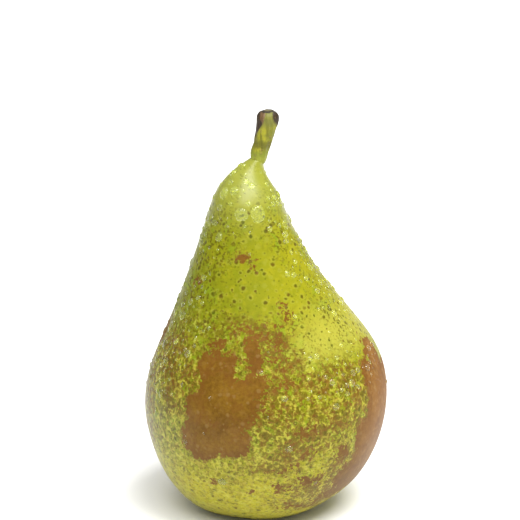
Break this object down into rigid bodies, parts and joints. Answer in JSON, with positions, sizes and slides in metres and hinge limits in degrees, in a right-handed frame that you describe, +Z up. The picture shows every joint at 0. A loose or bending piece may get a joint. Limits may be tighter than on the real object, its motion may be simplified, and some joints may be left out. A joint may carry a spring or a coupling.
{
  "type": "pear",
  "caption": "Whole ripe pear as picked, standing on its base: russeted yellow-green fruit with a leaning woody stalk and dried sepals in the eye.",
  "frame": {"origin": "on the surface that the pear stands on, below the middle of its belly", "axes": "+Z up the fruit to the stalk, -Y towards the front with the large russet patch, +X to the right seen from the front, the way the stalk leans"},
  "size_m": [0.0704, 0.0704, 0.1181],
  "materials": {
    "pear_skin": "waxy, satin, yellow-green with brown russet and dark pores",
    "stalk_bark": "smooth young bark, olive going brown at the end",
    "dried_sepal": "dry, papery, dark brown",
    "water": "clear drops of water lying on the skin"
  },
  "bodies": {
    "root": {"pear_fruit": "pear_skin", "stalk": "stalk_bark", "sepal_1": "dried_sepal", "sepal_2": "dried_sepal", "sepal_3": "dried_sepal", "sepal_4": "dried_sepal", "sepal_5": "dried_sepal"}
  },
  "joints": []
}
